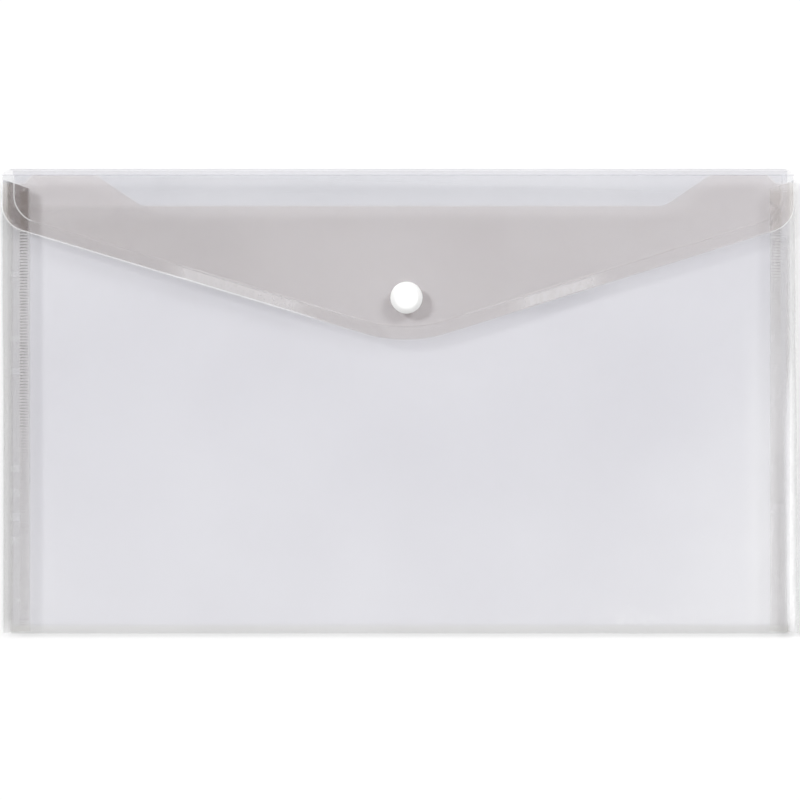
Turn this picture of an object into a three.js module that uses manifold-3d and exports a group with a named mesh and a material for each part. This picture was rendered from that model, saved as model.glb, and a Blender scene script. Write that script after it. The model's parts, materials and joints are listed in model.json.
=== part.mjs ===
// Clear document envelope: a shallow pocket of folded plastic film, its pointed flap and its press stud.
// It lies on its back. X runs along the pocket, Y from the bottom fold to the mouth, Z up through it.
// Every size is in millimetres.

import * as THREE from 'three';
import { mergeVertices } from 'three/addons/utils/BufferGeometryUtils.js';
import Module from 'manifold-3d';

const wasm = await Module();
wasm.setup();

// Film and folded pocket
const film = 0.3;
const pocketLength = 241;
const pocketHeight = 141.4;
const pocketDepth = 6;
const foldReach = 2.6;

// Spine strip between the back crease and the flap crease
const spineWidth = 8.6;
const spineLean = THREE.MathUtils.degToRad(16);
const spineTaper = 1.6;
const creaseGap = 0.35;

// Mouth of the front panel, with its wide thumb notch
const mouthClearance = 0.3;
const notchDepth = 9.5;
const notchTopWidth = 186;
const notchFloorWidth = 158;
const notchRadius = 7;
const notchShift = 0.9;
const stepWidth = 4.4;
const stepDrop = 2.7;
const stepSlope = 2.6;
const edgeRadius = 1;

// Side gussets, folded up from the back panel and tucked under the front panel
const tabWidth = 5.9;
const gussetTopInset = 1.2;
const gussetTopSlant = 3;
const gussetFootInset = 0.3;
const gussetFootSlant = 0.8;
const tabFootGap = 0.3;

// Ribbed weld that holds each gusset tab to the front panel
const weldInset = 4;
const weldWidth = 2.6;
const weldTopInset = 1.7;
const weldFootInset = 0.2;
const ribPitch = 0.9;
const ribHeight = 0.16;
const ribCrest = 0.3;
const weldSkin = 0.06;

// Pointed flap with its embossed border line
const flapInset = 0.9;
const flapShift = -0.6;
const flapReach = 51.6;
const flapSideReach = 15;
const flapCornerRadius = 8;
const flapPointRadius = 38;
const flapPointShift = 1.8;
const embossInset = 3.4;
const embossWidth = 0.6;
const embossHeight = 0.2;
const embossCornerRadius = 8;

// Press stud: cap and socket on the flap, stud and base on the front panel
const snapShift = 1.95;
const snapFromPoint = 14.6;
const capRadius = 4.85;
const capHeight = 1.3;
const capRim = 0.7;
const socketRadius = 4.3;
const socketRim = 0.3;
const socketWeb = 0.7;
const studRadius = 4.6;
const studFlange = 0.8;
const postRadius = 1.75;
const postHeight = 1.2;
const postNeck = 0.15;
const postRoof = 0.6;
const baseRadius = 4.8;
const baseHeight = 0.9;
const baseRim = 0.4;
const shankRadius = 0.95;
const shankGap = 0.3;
const snapGap = 0.3;
const boreGap = 0.4;
const levelMargin = 6;

// Fineness of the round surfaces
const arcSteps = 6;
const foldSteps = 8;
const roundSteps = 32;

// Places that the sizes above give
const halfLength = pocketLength / 2;
const panelHalf = halfLength - foldReach;
const flapHalf = halfLength - flapInset;
const footY = -pocketHeight / 2;
const foldLineY = footY + foldReach;
const frontUnder = pocketDepth - film;
const backCrease = new THREE.Vector2(pocketHeight / 2 - film / 2, film / 2);
const flapCrease = new THREE.Vector2(
  backCrease.x - spineWidth * Math.sin(spineLean),
  backCrease.y + spineWidth * Math.cos(spineLean),
);
const spineFaceY = backCrease.x - (pocketDepth - backCrease.y) * Math.tan(spineLean)
  - film / 2 / Math.cos(spineLean);
const shoulderY = spineFaceY - mouthClearance;
const stepY = shoulderY - stepDrop;
const notchY = shoulderY - notchDepth;
const gussetTopY = shoulderY - gussetTopInset;
const holeRadius = shankRadius + shankGap;
const boreRadius = postRadius + boreGap;
const boreDepth = postHeight;
const socketHeight = boreDepth + socketWeb;
const studTop = pocketDepth + studFlange;
const socketUnder = studTop + snapGap;
const flapUnder = socketUnder + socketHeight;
const flapPointY = flapCrease.x - flapReach;
const flapSideY = flapCrease.x - flapSideReach;
const snapPlace = new THREE.Vector2(snapShift, flapPointY + snapFromPoint);

const clearFilm = { color: 0xdfdee3, roughness: 0.28, metalness: 0, transparent: true, opacity: 0.45 };
const whitePlastic = { color: 0xf7f7f6, roughness: 0.3, metalness: 0 };

// Turns that lay a drawn section in the plane it is swept square to
const sweptAlongX = new THREE.Matrix4().makeBasis(
  new THREE.Vector3(0, 1, 0), new THREE.Vector3(0, 0, 1), new THREE.Vector3(1, 0, 0));
const sweptBackAlongX = new THREE.Matrix4().makeBasis(
  new THREE.Vector3(0, -1, 0), new THREE.Vector3(0, 0, 1), new THREE.Vector3(-1, 0, 0));
const sweptAlongY = new THREE.Matrix4().makeBasis(
  new THREE.Vector3(1, 0, 0), new THREE.Vector3(0, 0, 1), new THREE.Vector3(0, -1, 0));

function mesh(name, geometry, finish) {
  const made = new THREE.Mesh(geometry, new THREE.MeshStandardMaterial(finish));
  made.name = name;
  return made;
}

function extruded(shape, depth, steps = arcSteps) {
  return new THREE.ExtrudeGeometry(shape, { depth, bevelEnabled: false, curveSegments: steps });
}

// The closed solid that a geometry bounds, for cutting and joining
function solid(geometry) {
  const bare = geometry.clone();
  bare.deleteAttribute('normal');
  bare.deleteAttribute('uv');
  const merged = mergeVertices(bare, 1e-5);
  return new wasm.Manifold(new wasm.Mesh({
    numProp: 3,
    vertProperties: new Float32Array(merged.attributes.position.array),
    triVerts: new Uint32Array(merged.index.array),
  }));
}

function toGeometry(shaped) {
  const { vertProperties, triVerts } = shaped.getMesh();
  const geometry = new THREE.BufferGeometry();
  geometry.setAttribute('position', new THREE.BufferAttribute(vertProperties, 3));
  geometry.setIndex(new THREE.BufferAttribute(triVerts, 1));
  geometry.computeVertexNormals();
  return geometry;
}

// A closed outline through corners of x, y and an optional radius that rounds the corner
function roundedOutline(corners) {
  const shape = new THREE.Shape();
  corners.forEach(({ x, y, radius = 0 }, index) => {
    const corner = new THREE.Vector2(x, y);
    const before = corners[(index + corners.length - 1) % corners.length];
    const after = corners[(index + 1) % corners.length];
    const back = new THREE.Vector2(before.x, before.y).sub(corner).normalize();
    const on = new THREE.Vector2(after.x, after.y).sub(corner).normalize();
    const halfAngle = Math.acos(THREE.MathUtils.clamp(back.dot(on), -1, 1)) / 2;
    const draw = index === 0 ? 'moveTo' : 'lineTo';
    if (radius === 0) {
      shape[draw](x, y);
      return;
    }
    const start = back.clone().multiplyScalar(radius / Math.tan(halfAngle)).add(corner);
    const toCentre = back.clone().add(on).normalize();
    const centre = toCentre.multiplyScalar(radius / Math.sin(halfAngle)).add(corner);
    const end = on.clone().multiplyScalar(radius / Math.tan(halfAngle)).add(corner);
    const clockwise = back.cross(on) > 0;
    shape[draw](start.x, start.y);
    shape.absarc(centre.x, centre.y, radius,
      start.clone().sub(centre).angle(), end.clone().sub(centre).angle(), clockwise);
  });
  shape.closePath();
  return shape;
}

function roundHole(place, radius) {
  const hole = new THREE.Path();
  hole.absarc(place.x, place.y, radius, 0, 2 * Math.PI, true);
  return hole;
}

// Flat back panel, from the bottom fold to the back crease
function backPanel() {
  const height = backCrease.x - creaseGap - foldLineY;
  const panel = mesh('back_panel', new THREE.BoxGeometry(2 * panelHalf, height, film), clearFilm);
  panel.position.set(0, foldLineY + height / 2, film / 2);
  return panel;
}

// Half of the mouth's outline, from the notch floor out to the panel's side edge
function mouthCorners(side) {
  const floor = notchShift + side * notchFloorWidth / 2;
  const top = notchShift + side * notchTopWidth / 2;
  const stepX = side * (panelHalf - stepWidth);
  return [
    { x: floor, y: notchY, radius: notchRadius },
    { x: top, y: shoulderY, radius: notchRadius },
    { x: stepX - side * stepSlope, y: shoulderY, radius: edgeRadius },
    { x: stepX, y: stepY, radius: edgeRadius },
    { x: side * panelHalf, y: stepY },
  ];
}

// Front panel with the thumb notch and the stud's hole
function frontPanel() {
  const outline = roundedOutline([
    { x: -panelHalf, y: foldLineY },
    { x: panelHalf, y: foldLineY },
    ...mouthCorners(1).reverse(),
    ...mouthCorners(-1),
  ]);
  outline.holes.push(roundHole(snapPlace, holeRadius));
  const panel = mesh('front_panel', extruded(outline, film), clearFilm);
  panel.position.z = frontUnder;
  return panel;
}

// Half an elliptical tube wall, drawn from its foot round to its head and back along the inside
function foldSection(reach, height, tab) {
  const half = height / 2;
  const section = new THREE.Shape();
  section.moveTo(0, 0);
  section.absellipse(0, half, reach, half, -Math.PI / 2, Math.PI / 2, false);
  section.lineTo(-tab, height);
  section.lineTo(-tab, height - film);
  section.lineTo(0, height - film);
  section.absellipse(0, half, reach - film, half - film, Math.PI / 2, -Math.PI / 2, true);
  section.closePath();
  return section;
}

// Rounded fold that joins the back panel to the front panel along the bottom
function bottomFold() {
  const section = foldSection(foldReach, pocketDepth, 0);
  const swept = extruded(section, 2 * panelHalf, foldSteps).applyMatrix4(sweptBackAlongX);
  const fold = mesh('bottom_fold', swept, clearFilm);
  fold.position.set(panelHalf, foldLineY, 0);
  return fold;
}

// Gusset of the right-hand side: a rounded fold and its tab, with both ends cut on a slant
function gussetGeometry() {
  const section = foldSection(foldReach, frontUnder, tabWidth);
  const swept = extruded(section, pocketHeight, foldSteps).applyMatrix4(sweptAlongY);
  swept.translate(panelHalf, pocketHeight / 2, 0);
  const innerX = panelHalf - tabWidth;
  const outerX = halfLength + film;
  const footEdge = footY + gussetFootInset;
  const tabFoot = foldLineY + tabFootGap;
  const slant = (x) => (halfLength - x) / (halfLength - innerX);
  const plan = new THREE.Shape([
    new THREE.Vector2(outerX, footEdge),
    new THREE.Vector2(panelHalf, footEdge + slant(panelHalf) * gussetFootSlant),
    new THREE.Vector2(panelHalf, tabFoot),
    new THREE.Vector2(innerX - film, tabFoot + gussetFootSlant),
    new THREE.Vector2(innerX - film, gussetTopY - slant(innerX - film) * gussetTopSlant),
    new THREE.Vector2(outerX, gussetTopY - slant(outerX) * gussetTopSlant),
  ]);
  const block = extruded(plan, pocketDepth);
  return toGeometry(solid(swept).intersect(solid(block)));
}

function mirrored(geometry) {
  const flipped = geometry.clone().applyMatrix4(new THREE.Matrix4().makeScale(-1, 1, 1));
  const { array } = flipped.index;
  for (let i = 0; i < array.length; i += 3) {
    [array[i], array[i + 1]] = [array[i + 1], array[i]];
  }
  flipped.computeVertexNormals();
  return flipped;
}

// Weld seam: a thin pressed strip with a row of cross ribs, on top of the front panel
function weldSeam(name, side) {
  const footOfWeld = foldLineY + weldFootInset;
  const ribs = Math.floor((stepY - weldTopInset - footOfWeld) / ribPitch);
  const section = new THREE.Shape();
  section.moveTo(footOfWeld, 0);
  section.lineTo(footOfWeld + ribs * ribPitch, 0);
  for (let rib = ribs; rib > 0; rib -= 1) {
    const valley = footOfWeld + rib * ribPitch;
    section.lineTo(valley, weldSkin);
    section.lineTo(valley - (ribPitch - ribCrest) / 2, weldSkin + ribHeight);
    section.lineTo(valley - (ribPitch + ribCrest) / 2, weldSkin + ribHeight);
  }
  section.lineTo(footOfWeld, weldSkin);
  section.closePath();
  const seam = mesh(name, extruded(section, weldWidth).applyMatrix4(sweptAlongX), clearFilm);
  seam.position.set(side * (panelHalf - weldInset) - weldWidth / 2, 0, pocketDepth);
  return seam;
}

// Spine strip, drawn flat from the back crease and turned up to its lean
function spine() {
  const backHalf = flapHalf - spineTaper;
  const halfAt = (along) => backHalf + (spineTaper * along) / spineWidth;
  const strip = new THREE.Shape([
    new THREE.Vector2(-halfAt(creaseGap), creaseGap),
    new THREE.Vector2(halfAt(creaseGap), creaseGap),
    new THREE.Vector2(halfAt(spineWidth - creaseGap), spineWidth - creaseGap),
    new THREE.Vector2(-halfAt(spineWidth - creaseGap), spineWidth - creaseGap),
  ]);
  const wall = mesh('spine', extruded(strip, film), clearFilm);
  wall.position.z = -film / 2;
  const hinge = new THREE.Group();
  hinge.position.set(flapShift, backCrease.x, backCrease.y);
  hinge.rotation.x = Math.PI / 2 + spineLean;
  hinge.add(wall);
  return hinge;
}

// Flap outline pulled in by an inset, and carried on past the crease when it is a border line
function flapOutline(inset, cornerRadius, topY) {
  const sideX = flapHalf - inset;
  const edgeOf = (side) => {
    const corner = new THREE.Vector2(side * flapHalf, flapSideY);
    const point = new THREE.Vector2(flapPointShift - flapShift, flapPointY);
    const along = point.clone().sub(corner);
    return { corner, slope: along.y / along.x, length: along.length() / Math.abs(along.x) };
  };
  const [left, right] = [edgeOf(-1), edgeOf(1)];
  const cornerOf = ({ corner, slope, length }, side) => ({
    x: flapShift + side * sideX,
    y: corner.y + inset * length - side * slope * inset,
    radius: cornerRadius,
  });
  const leftLine = left.corner.y + inset * left.length;
  const rightLine = right.corner.y + inset * right.length;
  const pointX = (rightLine - leftLine - right.slope * flapHalf - left.slope * flapHalf)
    / (left.slope - right.slope);
  const pointY = leftLine + left.slope * (pointX + flapHalf);
  return roundedOutline([
    { x: flapShift - sideX, y: topY },
    cornerOf(left, -1),
    { x: flapShift + pointX, y: pointY, radius: flapPointRadius },
    cornerOf(right, 1),
    { x: flapShift + sideX, y: topY },
  ]);
}

// Flap film in side view: it leaves the crease, rises gently and runs level past the snap
function flapSheet(thickness) {
  const creaseEnd = flapCrease.x - creaseGap;
  const creaseUnder = flapCrease.y - film / 2;
  const levelFrom = snapPlace.y + capRadius + levelMargin;
  const middle = (creaseEnd + levelFrom) / 2;
  const section = new THREE.Shape();
  section.moveTo(flapPointY, flapUnder);
  section.lineTo(levelFrom, flapUnder);
  section.bezierCurveTo(middle, flapUnder, middle, creaseUnder, creaseEnd, creaseUnder);
  section.lineTo(creaseEnd, creaseUnder + thickness);
  section.bezierCurveTo(middle, creaseUnder + thickness, middle, flapUnder + thickness,
    levelFrom, flapUnder + thickness);
  section.lineTo(flapPointY, flapUnder + thickness);
  section.closePath();
  const swept = extruded(section, 2 * flapHalf).applyMatrix4(sweptAlongX);
  return solid(swept.translate(flapShift - flapHalf, 0, 0));
}

function upright(outline) {
  return solid(extruded(outline, 2 * flapUnder));
}

// Flap with its raised border line and the cap's hole
function flap() {
  const outline = flapOutline(0, flapCornerRadius, flapCrease.x);
  outline.holes.push(roundHole(snapPlace, holeRadius));
  const lineTop = flapCrease.x + flapCornerRadius;
  const outer = upright(flapOutline(embossInset, embossCornerRadius, lineTop));
  const inner = upright(flapOutline(embossInset + embossWidth, embossCornerRadius, lineTop));
  const body = flapSheet(film).intersect(upright(outline));
  const line = flapSheet(film + embossHeight).intersect(outer.subtract(inner));
  return mesh('flap', toGeometry(body.add(line)), clearFilm);
}

// A turned piece of the press stud, drawn as radius and height from its foot
function turned(name, profile, height) {
  const points = profile.map(([radius, level]) => new THREE.Vector2(radius, level));
  const piece = mesh(name, new THREE.LatheGeometry(points, roundSteps), whitePlastic);
  piece.rotation.x = Math.PI / 2;
  piece.position.set(snapPlace.x, snapPlace.y, height);
  return piece;
}

// Points of a quarter round from a face's edge to a side wall
function quarterRound(radius, level, rim, from, to) {
  const steps = 4;
  return Array.from({ length: steps + 1 }, (_, step) => {
    const angle = THREE.MathUtils.degToRad(from + ((to - from) * step) / steps);
    return [radius + rim * Math.cos(angle), level + rim * Math.sin(angle)];
  });
}

// Cap on the flap's outer face, with the shank that passes through the film into the socket
function snapCap() {
  const shankLength = film + socketWeb - shankGap;
  return turned('flap_snap_cap', [
    [0, -shankLength],
    [shankRadius, -shankLength],
    [shankRadius, 0],
    [capRadius - capRim, 0],
    ...quarterRound(capRadius - capRim / 2, capRim / 2, capRim / 2, -90, 0).slice(1),
    ...quarterRound(capRadius - capRim, capHeight - capRim, capRim, 0, 90),
    [0, capHeight],
  ], flapUnder + film);
}

// Socket under the flap, with the bore that takes the stud's post
function snapSocket() {
  return turned('flap_snap_socket', [
    [boreRadius, 0],
    ...quarterRound(socketRadius - socketRim, socketRim, socketRim, -90, 0),
    [socketRadius, socketHeight],
    [holeRadius, socketHeight],
    [holeRadius, boreDepth],
    [boreRadius, boreDepth],
    [boreRadius, 0],
  ], socketUnder);
}

// Stud on the front panel, with its hollow post
function snapStud() {
  const top = studFlange + postHeight;
  return turned('pocket_snap_stud', [
    [holeRadius, 0],
    [studRadius, 0],
    [studRadius, studFlange / 2],
    [studRadius - studFlange / 2, studFlange],
    [postRadius - postNeck, studFlange],
    [postRadius, studFlange + postHeight / 2],
    [postRadius - postNeck, top],
    [0, top],
    [0, top - postRoof],
    [holeRadius, top - postRoof],
    [holeRadius, 0],
  ], pocketDepth);
}

// Base inside the pocket, with the shank that passes up through the front panel into the stud
function snapBase() {
  const shankTop = baseHeight + film + studFlange + postHeight - postRoof - shankGap;
  return turned('pocket_snap_base', [
    [0, 0],
    ...quarterRound(baseRadius - baseRim, baseRim, baseRim, -90, 0),
    [baseRadius, baseHeight],
    [shankRadius, baseHeight],
    [shankRadius, shankTop],
    [0, shankTop],
  ], frontUnder - baseHeight);
}

const pocket = new THREE.Group();
const rightGusset = gussetGeometry();
pocket.add(
  backPanel(),
  bottomFold(),
  frontPanel(),
  mesh('left_gusset', mirrored(rightGusset), clearFilm),
  mesh('right_gusset', rightGusset, clearFilm),
  weldSeam('left_weld_seam', -1),
  weldSeam('right_weld_seam', 1),
  snapBase(),
  snapStud(),
);

const flapAndSnap = new THREE.Group();
flapAndSnap.add(flap(), snapSocket(), snapCap());

const envelope = new THREE.Group();
envelope.add(pocket, spine(), flapAndSnap);

export default envelope;
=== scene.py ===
"""Clear document envelope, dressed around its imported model.

A pocket of folded clear film with welded side gussets, a spine strip between two creases, a pointed flap with a
raised border line, and a white press stud. Every length is in metres, in the model's own frame: X runs along the
pocket, Y from the bottom fold to the mouth, and Z up through the front panel.
"""

from __future__ import annotations

import json
import logging
import math
from collections.abc import Callable, Iterable, Sequence
from dataclasses import dataclass
from enum import Enum
from itertools import combinations

import bmesh
import bpy
from mathutils import Matrix, Vector, noise


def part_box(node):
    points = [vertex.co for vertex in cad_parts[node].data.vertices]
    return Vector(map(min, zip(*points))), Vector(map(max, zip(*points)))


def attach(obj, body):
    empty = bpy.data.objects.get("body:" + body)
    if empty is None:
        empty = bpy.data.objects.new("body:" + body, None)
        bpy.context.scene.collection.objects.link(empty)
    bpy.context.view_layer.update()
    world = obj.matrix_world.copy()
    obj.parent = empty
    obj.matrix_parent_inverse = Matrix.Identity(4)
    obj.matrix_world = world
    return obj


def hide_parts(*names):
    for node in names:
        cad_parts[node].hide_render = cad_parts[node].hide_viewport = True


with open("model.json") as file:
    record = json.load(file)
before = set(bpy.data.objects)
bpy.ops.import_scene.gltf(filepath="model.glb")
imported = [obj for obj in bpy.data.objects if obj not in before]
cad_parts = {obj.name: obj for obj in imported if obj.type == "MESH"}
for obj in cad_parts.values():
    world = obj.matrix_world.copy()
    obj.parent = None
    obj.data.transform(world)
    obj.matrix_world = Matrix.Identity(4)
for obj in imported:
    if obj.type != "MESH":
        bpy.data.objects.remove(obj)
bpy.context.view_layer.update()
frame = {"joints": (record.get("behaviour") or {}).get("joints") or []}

MM = 0.001
FILM = 0.3 * MM
FULL_TURN = 2 * math.pi
SHARP_TURN = math.radians(25)
SAME_PLACE = 1e-7

log = logging.getLogger("envelope")


class Side(Enum):
    """Which long end of the envelope a gusset or seam is on, as the sign of its X."""

    LEFT = -1
    RIGHT = 1


class Slot(Enum):
    """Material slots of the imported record."""

    FILM = "clear_film"
    WELD = "weld_film"
    SNAP = "snap_white"


class Mark(Enum):
    """Marks painted on a piece of film, by the attribute's name."""

    # Darkening, mostly painted shade: on the gussets, the welds' furrows and the spine, and darker tones of the
    # flap.
    SHADE = "shade"
    # Whitening, mostly painted highlights: on the flap's edge, border line and crease roll, and along the right
    # fold.
    WHITE = "whitening"
    SCUFF = "scuffs"
    # A change of colour alone: warmth of the flap over the pocket, and haze with painted glare on the front film.
    TINT = "tint"


@dataclass(frozen=True)
class Corner:
    """A corner of a cut outline, rounded by a radius.

    Args:
        x: Place along the pocket.
        y: Place up the pocket.
        radius: Radius of the rounding, or 0 for a sharp corner.
    """

    x: float
    y: float
    radius: float = 0.0


@dataclass(frozen=True)
class Swell:
    """A soft rise of the film around one place.

    Args:
        x: Centre along the pocket.
        y: Centre up the pocket.
        reach_x: Half width at which the rise has mostly faded.
        reach_y: Half height at which the rise has mostly faded.
        height: Rise at the centre.
    """

    x: float
    y: float
    reach_x: float
    reach_y: float
    height: float

    def at(self, x: float, y: float) -> float:
        """Give the film's rise at a place."""
        across, up = (x - self.x) / self.reach_x, (y - self.y) / self.reach_y
        return self.height * math.exp(-(across * across + up * up))


@dataclass(frozen=True)
class Patch:
    """A stretch of film that a mark covers, with soft ends.

    Args:
        strength: The mark's full strength there.
        x: Pairs of places along the pocket, in millimetres. Each pair gives 0 at its first and 1 at its second.
        y: The same up the pocket.
    """

    strength: float
    x: tuple[tuple[float, float], ...] = ()
    y: tuple[tuple[float, float], ...] = ()

    def at(self, point: Vector) -> float:
        """Give the mark's strength at a point."""
        shares = [ease(*pair, point.x) for pair in self.x] + [ease(*pair, point.y) for pair in self.y]
        return math.prod(shares, start=self.strength)


def total(patches: Iterable[Patch], point: Vector) -> float:
    """Add up the strength of some patches at a point."""
    return sum(patch.at(point) for patch in patches)


def part(low: float, high: float, value: float) -> float:
    """Go evenly from 0 to 1 while a value goes from low to high."""
    return min(max((value - low) / (high - low), 0.0), 1.0)


def smooth(low: float, high: float, value: float) -> float:
    """Ease from 0 to 1 while a value goes from low to high, level at both ends."""
    share = part(low, high, value)
    return share * share * (3 - 2 * share)


def ease(low: float, high: float, value: float) -> float:
    """Ease from 0 to 1 while a place in metres goes between two places in millimetres."""
    return smooth(low * MM, high * MM, value)


def ripple(x: float, y: float, scale: float, seed: float) -> float:
    """Give the film's gentle unevenness at a place, from -1 to 1, in the pattern that a seed picks."""
    return noise.noise(Vector((x / scale, y / scale, seed)))


def hinge(name: str) -> Vector:
    """Give a point of a joint's axis, by the joint's name."""
    return next(Vector(joint["pos_m"]) for joint in frame["joints"] if joint["name"] == name)


def verts_of(edges: Iterable[bmesh.types.BMEdge]) -> set[bmesh.types.BMVert]:
    """Gather the ends of some edges."""
    return {vert for edge in edges for vert in edge.verts}


def only(kind: type, geometry: Iterable[object]) -> list:
    """Keep what is of one kind, in its order."""
    return [element for element in geometry if isinstance(element, kind)]


def agree_normals(bm: bmesh.types.BMesh) -> None:
    """Let the faces of a mesh face the same way, which is outwards if it is closed."""
    bmesh.ops.recalc_face_normals(bm, faces=bm.faces[:])


class FilmBlank:
    """A piece of film: cut flat, divided finely, bent, and given its thickness and its cut rim."""

    RIM_ROUND = 0.06 * MM
    RIM_TURN = 0.6
    ARC_SEGMENTS = 10
    FOLD_STEPS = 16

    def __init__(self) -> None:
        """Start with no film."""
        self.bm = bmesh.new()

    def loop(self, corners: Sequence[Corner]) -> list[bmesh.types.BMEdge]:
        """Draw a closed loop of edges through rounded corners.

        Args:
            corners: The corners in order.

        Returns:
            The loop's edges.
        """
        before = set(self.bm.verts)
        verts = [self.bm.verts.new((c.x, c.y, 0)) for c in corners]
        for vert, after in zip(verts, verts[1:] + verts[:1]):
            self.bm.edges.new((vert, after))
        count = len(corners)
        for index, (vert, corner) in enumerate(zip(verts, corners)):
            if corner.radius == 0:
                continue
            back = Vector((corners[index - 1].x - corner.x, corners[index - 1].y - corner.y))
            onward = corners[(index + 1) % count]
            ahead = Vector((onward.x - corner.x, onward.y - corner.y))
            half_turn = (math.pi - back.angle(ahead)) / 2
            bmesh.ops.bevel(
                self.bm,
                geom=[vert],
                offset=corner.radius * math.tan(half_turn),
                offset_type="OFFSET",
                segments=self.ARC_SEGMENTS,
                profile=0.5,
                affect="VERTICES",
                material=-1,
            )
        new = set(self.bm.verts) - before
        return [edge for edge in self.bm.edges if edge.verts[0] in new and edge.verts[1] in new]

    def fill(self, edges: Iterable[bmesh.types.BMEdge]) -> None:
        """Fill a closed loop of edges with film that faces up.

        Args:
            edges: The loop's edges.
        """
        filled = bmesh.ops.contextual_create(self.bm, geom=list(edges))["faces"]
        for face in filled:
            face.normal_update()
            if face.normal.z < 0:
                face.normal_flip()

    def cut_across(self, axis: int, low: float, high: float, step: float) -> None:
        """Divide the film by evenly spaced cuts.

        Args:
            axis: 0 for cuts spaced along X, 1 for cuts spaced along Y.
            low: Where the film starts.
            high: Where the film ends.
            step: Widest spacing of the cuts.
        """
        count = math.ceil((high - low) / step)
        normal = Vector((1, 0, 0)) if axis == 0 else Vector((0, 1, 0))
        for number in range(1, count):
            place = normal * (low + (high - low) * number / count)
            self.trim(place, normal, clear=False)

    def trim(self, place: Vector, normal: Vector, clear: bool = True) -> None:
        """Cut the film by a plane, and drop what lies on the normal's side if clear.

        Args:
            place: A point of the plane.
            normal: The plane's normal.
            clear: Whether to drop the outer side.
        """
        bmesh.ops.bisect_plane(
            self.bm,
            geom=self.bm.verts[:] + self.bm.edges[:] + self.bm.faces[:],
            dist=SAME_PLACE,
            plane_co=place,
            plane_no=normal,
            clear_outer=clear,
        )

    def bend(self, shape: Callable[[Vector], Vector]) -> None:
        """Move every point of the film to the new place that a shape gives it."""
        for vert in self.bm.verts:
            vert.co = shape(vert.co.copy())

    def lift(self, rise: Callable[[float, float], float]) -> None:
        """Raise every point of the film by what its place along and up the pocket gives."""
        self.bend(lambda p: Vector((p.x, p.y, p.z + rise(p.x, p.y))))

    def thicken(self) -> None:
        """Give the film its thickness below its drawn side."""
        self.bm.normal_update()
        bmesh.ops.solidify(self.bm, geom=self.bm.faces[:], thickness=FILM)
        agree_normals(self.bm)
        self.bm.normal_update()

    def mark_rim(self, cut: Callable[[Vector], bool]) -> None:
        """Round the film's cut rim and give it the second finish.

        Args:
            cut: Tells whether the film is cut at a place, or goes on round a fold.
        """
        sharp = [edge for edge in self.bm.edges
                 if len(edge.link_faces) == 2 and edge.calc_face_angle() > self.RIM_TURN
                 and cut((edge.verts[0].co + edge.verts[1].co) / 2)]
        for face in self._side_walls(set(sharp)):
            face.material_index = 1
        bmesh.ops.bevel(
            self.bm,
            geom=sharp,
            offset=self.RIM_ROUND,
            offset_type="OFFSET",
            segments=2,
            profile=0.5,
            affect="EDGES",
            material=1,
            clamp_overlap=True,
        )

    def _side_walls(self, sharp: set[bmesh.types.BMEdge]) -> list[bmesh.types.BMFace]:
        """Faces of the cut rim: two sharp edges that share no corner, a film's thickness apart.

        Args:
            sharp: The film's sharp edges.

        Returns:
            The rim's faces.
        """
        found = []
        for face in self.bm.faces:
            own = [edge for edge in face.edges if edge in sharp]
            thick = [edge for edge in face.edges if abs(edge.calc_length() - FILM) < 0.05 * FILM]
            walls = any(set(a.verts).isdisjoint(b.verts) for a, b in combinations(own, 2))
            if walls and any(set(a.verts).isdisjoint(b.verts) for a, b in combinations(thick, 2)):
                found.append(face)
        return found

    def piece(self, name: str, *finishes: bpy.types.Material) -> bpy.types.Object:
        """Turn the film into an object, with the film's own finish first and the rim's second."""
        return make_object(name, self.bm, finishes)


def paint(bm: bmesh.types.BMesh, mark: Mark, share: Callable[[Vector], float]) -> None:
    """Paint a mark on every point of a piece.

    Args:
        bm: The piece's mesh.
        mark: The mark.
        share: Gives the mark's strength from 0 to 1 at a point.
    """
    layer = bm.verts.layers.float.get(mark.value) or bm.verts.layers.float.new(mark.value)
    for vert in bm.verts:
        vert[layer] = max(vert[layer], share(vert.co))


def make_object(name: str, bm: bmesh.types.BMesh, finishes: Sequence[bpy.types.Material]) -> bpy.types.Object:
    """Turn a finished bmesh into an object at the origin.

    Args:
        name: The object's name.
        bm: The mesh, freed afterwards.
        finishes: The object's materials in slot order.

    Returns:
        The new object.
    """
    for face in bm.faces:
        face.smooth = True
    data = bpy.data.meshes.new(name)
    bm.to_mesh(data)
    bm.free()
    data.set_sharp_from_angle(angle=SHARP_TURN)
    for finish in finishes:
        data.materials.append(finish)
    made = bpy.data.objects.new(name, data)
    bpy.context.scene.collection.objects.link(made)
    return made


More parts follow.
